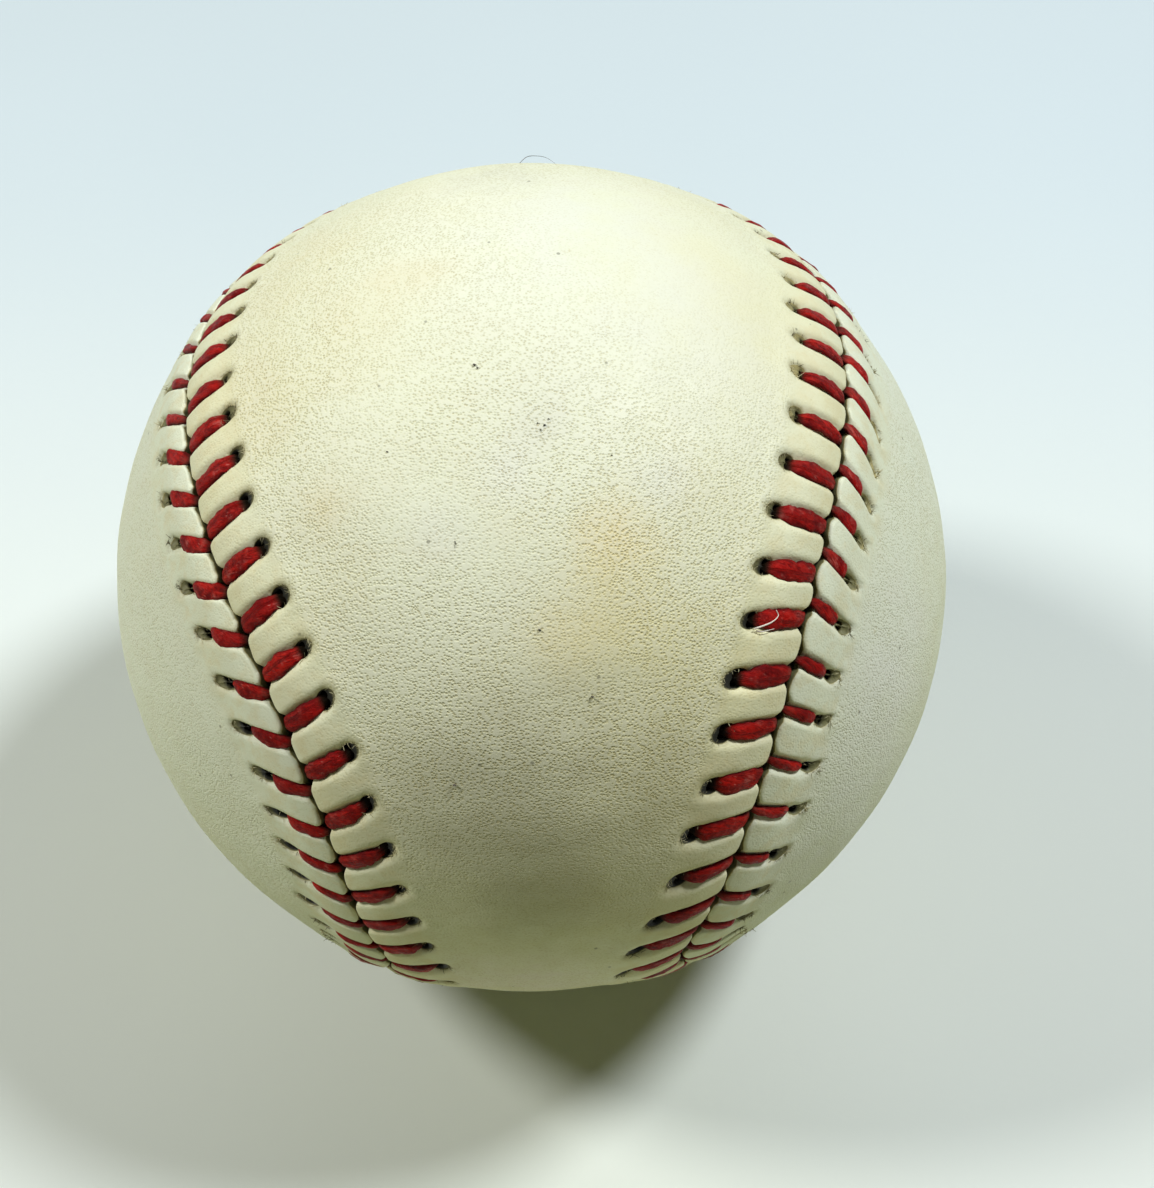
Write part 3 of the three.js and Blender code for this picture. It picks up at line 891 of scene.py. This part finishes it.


# Stains and scuffs on the leather, and painted light: place in the frame, radius in millimetres,
# strength, colour.
STAINS_AND_PAINTED_LIGHT = [
    (616, 526, 4.5, 0.5, (0.84, 0.66, 0.28)),
    (612, 590, 7, 0.6, (0.82, 0.68, 0.28)),
    (565, 638, 5, 0.55, (0.82, 0.68, 0.3)),
    (676, 660, 12, 0.65, (0.8, 0.73, 0.34)),
    (655, 782, 9, 0.5, (0.74, 0.66, 0.28)),
    (320, 512, 3.5, 0.4, (0.8, 0.68, 0.36)),
    # Painted light: the lower right panel and its side brightened, and a pale rim along the bottom
    # where the floor throws light back.
    (840, 830, 18, 0.75, (0.92, 0.95, 0.92)),
    (895, 670, 12, 0.6, (0.94, 0.96, 0.94)),
    (525, 984, 12, 0.9, (0.95, 0.88, 0.9)),
    (560, 420, 9, 0.4, (0.88, 0.9, 0.74)),
    # Darker towards the bottom: this patch and those at (520, 905) and (555, 812).
    (480, 805, 11, 0.75, (0.42, 0.42, 0.27)),
    (520, 905, 9, 0.36, (0.46, 0.48, 0.3)),
    (700, 800, 9, 0.3, (0.62, 0.52, 0.24)),
    (555, 812, 17.5, 0.85, (0.54, 0.52, 0.32)),
    (430, 800, 12, 0.3, (0.56, 0.54, 0.36)),
    # Painted sheen: a pale patch on the top.
    (570, 230, 20, 0.75, (0.86, 0.89, 0.8)),
    (700, 350, 15, 0.5, (0.86, 0.89, 0.79)),
    (380, 290, 7, 0.4, (0.84, 0.76, 0.46)),
    (300, 260, 9, 0.4, (0.82, 0.74, 0.42)),
    (440, 270, 4, 0.3, (0.84, 0.76, 0.46)),
    (330, 500, 8, 0.2, (0.78, 0.7, 0.44)),
    (545, 425, 3.4, 0.2, (0.5, 0.5, 0.46)),
    (520, 400, 7, 0.15, (0.6, 0.6, 0.52)),
    (500, 175, 7, 0.3, (0.6, 0.62, 0.52)),
    (510, 470, 4, 0.35, (0.84, 0.86, 0.8)),
    (660, 480, 3.5, 0.35, (0.84, 0.85, 0.8)),
    (440, 530, 4, 0.3, (0.84, 0.85, 0.8)),
    (250, 400, 7, 0.25, (0.8, 0.7, 0.42)),
]


# Hairs and crumbs on the leather, by place in the frame and height over plain leather.
DARK_HAIRS = [
    [(519, 165, -0.05), (527, 158, 0.3), (537, 157, 0.4), (547, 159, 0.3), (557, 166, -0.05)],
    [(455, 541, 0.02), (455.3, 543, 0.06), (455.5, 544.5, 0.06), (455.2, 546, 0.06),
     (455, 548, 0.02)],
]
DARK_CRUMBS = [
    (540, 630, 0.11), (593, 697, 0.12), (475, 365, 0.12), (478, 368, 0.08), (455, 785, 0.13),
    (549, 419, 0.07), (541, 430, 0.06), (545, 425, 0.09), (538, 423, 0.06), (612, 455, 0.07),
    (388, 452, 0.08),
]
# Stops of a crumb: how far along and how high, against its size.
CRUMB_STOPS = [(-9, 0), (-4, 1), (0, 1), (4, 1), (9, 0)]
PALE_HAIRS = [
    [(755, 629, 0.36), (764, 626, 0.55), (773, 622, 0.57), (779, 616, 0.56), (777, 610, 0.45)],
    [(757, 631, 0.3), (762, 632, 0.44), (767, 631, 0.5), (771, 630, 0.48), (775, 629, 0.42)],
]


# Where the grain is rubbed smooth: place in the frame, radius in millimetres and strength.
POLISHED = [
    (740, 300, 24, 0.75), (600, 215, 15, 0.7), (520, 930, 20, 0.6), (800, 880, 16, 0.5),
    (420, 170, 12, 0.4),
]
# How soiled leather darkens: from clean to fully soiled, and to what colour. The last step, to
# near black, is painted shade in the holes, the seam gap and the panels' inside.
SOILING_AND_SHADE = [
    (0.04, 0.14, (0.58, 0.5, 0.22)),
    (0.1, 0.3, (0.2, 0.19, 0.085)),
    (0.42, 0.8, (0.012, 0.012, 0.007)),
]
GRAIN_BEND = 0.00028


def leather_material(name, ivory, cream, pale):
    n = Nodes(name)
    place = n.place()
    # Broad drifts of colour, worn patches, mottling, stains, painted light and darkening towards
    # the bottom.
    colour = n.mix(n.ramp(n.noise(place, 38.0), 0.34, 0.66), ivory, cream)
    worn = n.ramp(n.noise(place, 60.0, 3.0, 0.5), 0.45, 0.75)
    colour = n.tint(colour, worn, 0.4, pale)
    mottle = n.noise(place, 260.0, 4.0, 0.6)
    colour = n.mix(n.ramp(mottle, 0.42, 0.68, 0.0, 0.1), colour, (0.74, 0.62, 0.38))
    for x, y, radius, strength, tone in STAINS_AND_PAINTED_LIGHT:
        near = n.closeness(place, spot_at(x, y), radius)
        broken = n.times(near, n.ramp(mottle, 0.25, 0.7, 0.45, 1.0))
        colour = n.tint(colour, broken, strength, tone)
    lip = n.attribute("lip")
    worked = n.times(lip, n.ramp(n.noise(place, 620.0, 4.0, 0.62), 0.42, 0.66))
    colour = n.tint(colour, worked, 0.38, (0.76, 0.66, 0.36))
    # Grain: pores in loose rows between pale ridges, their paleness a painted highlight, rubbed
    # smooth in places.
    bare = n.times(n.ramp(lip, 0.1, 0.85, 1.0, 0.28), n.ramp(worn, 0.0, 1.0, 1.0, 0.6))
    for x, y, radius, strength in POLISHED:
        near = n.closeness(place, spot_at(x, y), radius)
        bare = n.times(bare, n.times_plus(near, -strength, 1.0))
    push = n.noise(place, 420.0, 2.0, 0.5, "Color")
    push = n.vector("SCALE", {0: push, "Scale": GRAIN_BEND})
    grain = n.scaled(n.vector("ADD", {0: place, 1: push}), (0.88, 1.08, 1.08), (0.0, 0.35, 0.1))
    grain = n.cells(grain, 4500.0, randomness=0.9)
    rows = n.noise(n.scaled(place, (0.5, 1.0, 1.0)), 1500.0, 2.0)
    # Painted highlight on the ridges between the pores.
    ridge_highlight = n.times(n.ramp(grain, 0.36, 0.66), bare)
    colour = n.tint(colour, ridge_highlight, 0.34, (0.94, 0.94, 0.83))
    pore = n.times(n.ramp(grain, 0.46, 0.1), bare)
    pore = n.times(pore, n.ramp(rows, 0.3, 0.62, 0.35, 1.0))
    colour = n.tint(colour, pore, 0.54, (0.47, 0.37, 0.15))
    # Dark specks, stained rims, and dirt and painted shade in the seam and the holes.
    specks = n.ramp(n.cells(place, 260.0), 0.05, 0.025)
    colour = n.tint(colour, specks, 0.6, (0.14, 0.13, 0.08))
    ragged = n.noise(place, 1500.0, 4.0, 0.7)
    stain = n.times(n.attribute("rim"), n.ramp(ragged, 0.38, 0.62))
    colour = n.tint(colour, stain, 0.6, (0.34, 0.29, 0.13))
    uneven = n.times(n.math("SUBTRACT", ragged, 0.5), 0.35)
    # Soil mark with painted shade: dirt, and near black where the seam and holes lie in shade.
    dirt_and_shade = n.math("ADD", n.attribute("soil_and_shade"), uneven)
    for clean, full, tone in SOILING_AND_SHADE:
        colour = n.mix(n.ramp(dirt_and_shade, clean, full), colour, tone)
    pits = n.times(n.ramp(grain, 0.1, 0.62), bare)
    height = n.times_plus(pits, 1.5, n.times(n.noise(place, 3600.0, 3.0, 0.65), 0.5))
    folds = n.noise(n.scaled(place, (0.45, 1.0, 1.0)), 1300.0, 3.0, 0.6)
    height = n.times_plus(folds, 0.9, height)
    rough = n.ramp(n.noise(place, 500.0, 4.0), 0.3, 0.7, 0.5, 0.66)
    return n.finish(colour, rough, n.bump(height, 0.03), Specular_IOR_Level=0.36)


def thread_material():
    """Waxed red thread, its fibres laid along the twist by the marks on the mesh."""
    n = Nodes("red_waxed_thread")
    place = n.place()
    run, turn, tint = [n.attribute(key) for key in ("run", "turn", "tint")]
    lay = STRAND_GIRTH / (PLY_TWIST * PLY_COUNT)
    across = n.times_plus(run, lay, n.times(turn, STRAND_GIRTH))
    laid = n.add("CombineXYZ", {0: n.times(run, 0.28), 1: across, 2: n.times(tint, 9.0)})
    laid = laid.outputs[0]
    fibres = n.noise(laid, 7.0, 4.0, 0.7)
    bundles = n.noise(laid, 1.7, 3.0, 0.6)
    streak = n.noise(place, 2300.0, 4.0, 0.7)
    coarse = n.noise(place, 620.0)
    colour = n.mix(n.ramp(bundles, 0.36, 0.62), (0.15, 0.002, 0.002), (0.47, 0.008, 0.005))
    colour = n.mix(n.ramp(streak, 0.4, 0.68, 0.0, 0.6), colour, (0.58, 0.03, 0.02))
    colour = n.mix(n.ramp(fibres, 0.5, 0.32, 0.0, 0.75), colour, (0.07, 0.001, 0.002))
    colour = n.tint(colour, tint, 0.4, (0.17, 0.002, 0.004))
    colour = n.mix(n.ramp(coarse, 0.56, 0.7, 0.0, 0.55), colour, (0.1, 0.002, 0.004))
    # Pale flecks as painted glints, scuffs, wax near the seam, and painted shade on the flanks and
    # below the leather.
    # Painted glints: pale flecks of highlight on the waxed thread.
    painted_glints = n.ramp(n.cells(laid, 4.2), 0.2, 0.08)
    painted_glints = n.times(painted_glints, n.ramp(n.noise(place, 900.0), 0.48, 0.62))
    colour = n.tint(colour, painted_glints, 0.6, (0.66, 0.24, 0.2))
    scuffs = n.times(n.ramp(n.noise(place, 760.0), 0.56, 0.68), n.ramp(fibres, 0.4, 0.6))
    colour = n.tint(colour, scuffs, 0.4, (0.62, 0.2, 0.17))
    haze = n.times(n.attribute("wax"), n.ramp(n.noise(place, 1100.0, 4.0), 0.42, 0.6))
    colour = n.tint(colour, haze, 0.4, (0.22, 0.08, 0.06))
    # Painted shade on the flanks and where the strand dives below the leather.
    painted_flank_shade = n.times(n.attribute("painted_flank_shade"), n.ramp(streak, 0.3, 0.6, 0.35, 0.8))
    colour = n.mix(painted_flank_shade, colour, (0.05, 0.001, 0.004))
    colour = n.mix(n.attribute("shade"), colour, (0.02, 0.012, 0.006))
    height = n.times_plus(fibres, 0.9, n.times(bundles, 1.2))
    height = n.times_plus(streak, 1.2, height)
    rough = n.ramp(coarse, 0.3, 0.7, 0.32, 0.55)
    return n.finish(colour, rough, n.bump(height, 0.085), Specular_IOR_Level=0.07)


def lint_material(name, scale, detail, dark, light, roughness):
    n = Nodes(name)
    shade = n.ramp(n.noise(n.place(), scale, detail), 0.4, 0.6)
    return n.finish(n.mix(shade, dark, light), roughness)


def cork_material():
    n = Nodes("cork_granules")
    place = n.place()
    grains = n.cells(place, 620.0)
    edges = n.cells(place, 620.0, "DISTANCE_TO_EDGE")
    colour = n.mix(n.ramp(grains, 0.1, 0.7), (0.6, 0.42, 0.24), (0.3, 0.18, 0.09))
    colour = n.mix(n.ramp(n.noise(place, 2500.0, 4.0), 0.5, 0.8), colour, (0.12, 0.07, 0.04))
    colour = n.mix(n.ramp(edges, 0.08, 0.0), colour, (0.1, 0.06, 0.035))
    return n.finish(colour, n.ramp(grains, 0, 1, 0.8, 0.95), n.bump(edges, 0.3))


def rubber_material(name, dark, light):
    n = Nodes(name)
    place = n.place()
    bloom = n.noise(place, 180.0, 5.0, 0.65)
    colour = n.mix(n.ramp(bloom, 0.35, 0.7), dark, light)
    fine = n.noise(place, 2200.0, 3.0)
    return n.finish(colour, n.ramp(bloom, 0.3, 0.7, 0.55, 0.8), n.bump(fine, 0.06))


def wool_material(name, dark, light, turns):
    """Yarn laid over itself in several directions."""
    n = Nodes(name)
    place = n.place()
    patch = n.noise(place, 45.0, 1.0)
    layers = []
    for turn in ((0.3, 0.9, 0.2), (1.4, 0.2, 0.9), (0.7, 1.9, 1.3)):
        sizes = {"Vector": n.scaled(place, (1.0, 1.0, 1.0), turn), "Scale": turns,
                 "Distortion": 1.2, "Detail": 2.0, "Detail Scale": 2.0}
        layers.append(n.add("TexWave", sizes).outputs["Fac"])
    first = n.ramp(patch, 0.45, 0.47)
    second = n.ramp(patch, 0.55, 0.57)
    height = n.mix(first, layers[0], layers[1])
    height = n.mix(second, height, layers[2])
    fuzz = n.noise(place, 3000.0, 4.0, 0.7)
    colour = n.mix(n.ramp(height, 0.1, 0.9), dark, light)
    colour = n.mix(n.ramp(fuzz, 0.55, 0.8, 0.0, 0.5), colour, light)
    relief = n.times_plus(fuzz, 0.3, height)
    return n.finish(colour, n.ramp(fuzz, 0.3, 0.7, 0.85, 0.98), n.bump(relief, 0.35))


def dress_nodes():
    """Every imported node, hidden or not, gets its finish."""
    finishes = {
        "cork_core": cork_material(),
        "black_rubber": rubber_material("black_rubber", (0.012, 0.012, 0.012), (0.05, 0.05, 0.048)),
        "red_rubber": rubber_material("red_rubber", (0.22, 0.03, 0.02), (0.34, 0.07, 0.05)),
        "rubber_gasket": rubber_material("gasket_rubber", (0.26, 0.03, 0.02), (0.38, 0.08, 0.05)),
        "grey_wool": wool_material("grey_wool", (0.13, 0.13, 0.13), (0.36, 0.36, 0.35), 330.0),
        "white_wool": wool_material("white_wool", (0.5, 0.47, 0.4), (0.82, 0.79, 0.72), 330.0),
        "finishing_yarn": wool_material("finishing", (0.5, 0.47, 0.4), (0.85, 0.82, 0.75), 700.0),
        "cover_panel": ivory_leather,
        "stitch_thread": red_thread,
    }
    for name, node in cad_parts.items():
        finish = next(m for key, m in finishes.items() if name.startswith(key))
        node.data.materials.clear()
        node.data.materials.append(finish)


# ---- The ball ----

ivory_leather = leather_material(
    "ivory_leather", (0.85, 0.87, 0.63), (0.85, 0.83, 0.54), (0.88, 0.91, 0.75)
)
# A paler, greener copy of the leather for the right panel, its tone partly its own and partly
# painted light on that side.
olive_leather_and_painted_light = leather_material(
    "pale_olive_leather_and_painted_light", (0.86, 0.92, 0.74), (0.84, 0.88, 0.66), (0.88, 0.93, 0.8)
)
red_thread = thread_material()
dress_nodes()

panel_left = PanelBuilder(LEFT).build("leather_panel_left", ivory_leather)
panel_right = PanelBuilder(RIGHT).build("leather_panel_right", olive_leather_and_painted_light)
thread_left = strand_mesh("thread_left", LEFT, red_thread)
thread_right = strand_mesh("thread_right", RIGHT, red_thread)
fibre_skin = lint_material(
    "leather_fibres", 350.0, 2.0, (0.16, 0.14, 0.07), (0.6, 0.55, 0.34), 0.8
)
fibres = tube_mesh("hole_rim_fibres", *rim_fibres(), fibre_skin)

crumbs = [
    [(x + size * ahead, y, size * rise) for ahead, rise in CRUMB_STOPS]
    for x, y, size in DARK_CRUMBS
]
dark_radii = [0.03, 0.035] + [size * 0.8 for _, _, size in DARK_CRUMBS]
dark_skin = lint_material("dark_lint", 900.0, 2.0, (0.03, 0.028, 0.022), (0.12, 0.1, 0.08), 0.8)
dark_lint = tube_mesh("dark_lint", hair_paths(DARK_HAIRS + crumbs), dark_radii, dark_skin)
pale_skin = lint_material("pale_lint", 900.0, 3.0, (0.5, 0.42, 0.36), (0.85, 0.8, 0.72), 0.7)
pale_lint = tube_mesh("pale_lint", hair_paths(PALE_HAIRS), [0.08, 0.06], pale_skin)

for piece, node, slot in (
    (panel_left, "cover_panel_left", "cover_leather"),
    (panel_right, "cover_panel_right", "cover_leather"),
    (thread_left, "stitch_thread_left", "red_thread"),
    (thread_right, "stitch_thread_right", "red_thread"),
):
    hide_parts(node)
    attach(piece, "root")
for piece in (fibres, dark_lint, pale_lint):
    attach(piece, "root")


# ---- Floor, lamps and camera ----

FLOOR_HALF = 4000.0
FLOOR_FADE = (0.2, 0.5)
BACKDROP = (0.8, 0.86, 0.87)
LAMP_DISTANCE = 600.0
LAMP_DIAMETER = 130.0
# Azimuth from +X, elevation and power of each lamp.
LAMPS = [
    ("lamp_right", 16.7, 60.3, 2.57, (0.96, 0.99, 1.0)),
    ("lamp_left", 175.0, 48.7, 1.95, (1.0, 0.995, 0.94)),
]
AMBIENT = 0.04
# Where a soft shadow is painted on the floor in front of the ball, in millimetres.
FRONT_PAINTED_SHADOW = (0, -58, -BALL_RADIUS)
FRONT_PAINTED_SHADOW_RADIUS = 52


def make_floor():
    n = Nodes("pale_floor")
    place = n.place()
    tone = n.ramp(n.noise(place, 9.0, 2.0), 0.3, 0.7)
    near = n.mix(tone, (0.88, 0.935, 0.9), (0.9, 0.955, 0.92))
    far = n.mix(tone, (0.71, 0.82, 0.88), (0.73, 0.84, 0.9))
    depth = n.add("SeparateXYZ", {0: place}).outputs["Y"]
    shown = n.mix(n.ramp(depth, -0.03, 0.12), near, far)
    # Painted shadow: the floor darkened in front of the ball.
    painted_shadow = n.closeness(place, FRONT_PAINTED_SHADOW, FRONT_PAINTED_SHADOW_RADIUS)
    shown = n.tint(shown, painted_shadow, 0.26, (0.5, 0.52, 0.36))
    # What it throws back on the ball is darker than what the camera sees.
    plain = n.mix(tone, (0.41, 0.42, 0.2), (0.43, 0.44, 0.22))
    seen = n.seen()
    bump = n.bump(n.noise(place, 900.0), 0.02)
    material = n.finish(n.mix(seen, plain, shown), 0.9, bump, Specular_IOR_Level=0.1)
    # Far from the ball the camera sees the floor run into the backdrop.
    reach = n.vector("LENGTH", {0: place}, "Value")
    glow = n.add("Emission", {"Color": BACKDROP, "Strength": 1.0}).outputs[0]
    fade = n.times(n.ramp(reach, *FLOOR_FADE), seen)
    blend = n.add("MixShader", {0: fade, 1: n.shader.outputs[0], 2: glow}).outputs[0]
    n.feed(n.tree.nodes["Material Output"].inputs["Surface"], blend)
    corners = [(-1, -1), (1, -1), (1, 1), (-1, 1)]
    points = [(x * FLOOR_HALF, y * FLOOR_HALF, -BALL_RADIUS) for x, y in corners]
    floor = make_piece("floor", points, [[0, 1, 2, 3]], material, shade_smooth=False)


def make_world():
    """Faint light from all round, and a pale backdrop for the camera."""
    n = Nodes("studio", "worlds")
    soft = n.add("Background", {"Color": (1.0, 1.0, 0.72), "Strength": AMBIENT}).outputs[0]
    backdrop = n.add("Background", {"Color": BACKDROP, "Strength": 1.0}).outputs[0]
    mixed = n.add("MixShader", {0: n.seen(), 1: soft, 2: backdrop}).outputs[0]
    n.feed(n.tree.nodes["World Output"].inputs["Surface"], mixed)
    bpy.context.scene.world = n.block


def make_lamps():
    for name, azimuth, elevation, power, colour in LAMPS:
        light = bpy.data.lights.new(name, "AREA")
        light.shape = "DISK"
        light.size = LAMP_DIAMETER * MM
        light.energy = power
        light.color = colour
        lamp = bpy.data.objects.new(name, light)
        around, above = math.radians(azimuth), math.radians(elevation)
        direction = Vector(
            (math.cos(above) * math.cos(around), math.cos(above) * math.sin(around),
             math.sin(above))
        )
        lamp.location = direction * LAMP_DISTANCE * MM
        lamp.rotation_euler = direction.to_track_quat("Z", "Y").to_euler()
        bpy.context.scene.collection.objects.link(lamp)


def make_camera():
    """Looks from the photograph's side, turned so that the ball's centre falls on its pixel."""
    right, up, forward = camera_axes()
    data = bpy.data.cameras.new("camera")
    data.sensor_fit = "AUTO"
    data.sensor_width = SENSOR
    data.lens = FOCAL_PIXELS * SENSOR / FRAME_HEIGHT
    data.clip_start = 0.01
    camera = bpy.data.objects.new("camera", data)
    aim = unit(
        forward
        + right * (FRAME_WIDTH / 2 - BALL_CENTRE_PIXEL[0]) / FOCAL_PIXELS
        - up * (FRAME_HEIGHT / 2 - BALL_CENTRE_PIXEL[1]) / FOCAL_PIXELS
    )
    camera.location = Vector(-CAMERA_DISTANCE * forward * MM)
    aside = unit(np.cross(aim, up))
    camera.rotation_euler = Matrix(np.stack([aside, np.cross(aside, aim), -aim], -1)).to_euler()
    bpy.context.scene.collection.objects.link(camera)
    bpy.context.scene.camera = camera


make_floor()
make_world()
make_lamps()
make_camera()
bpy.context.scene.view_settings.view_transform = "Standard"
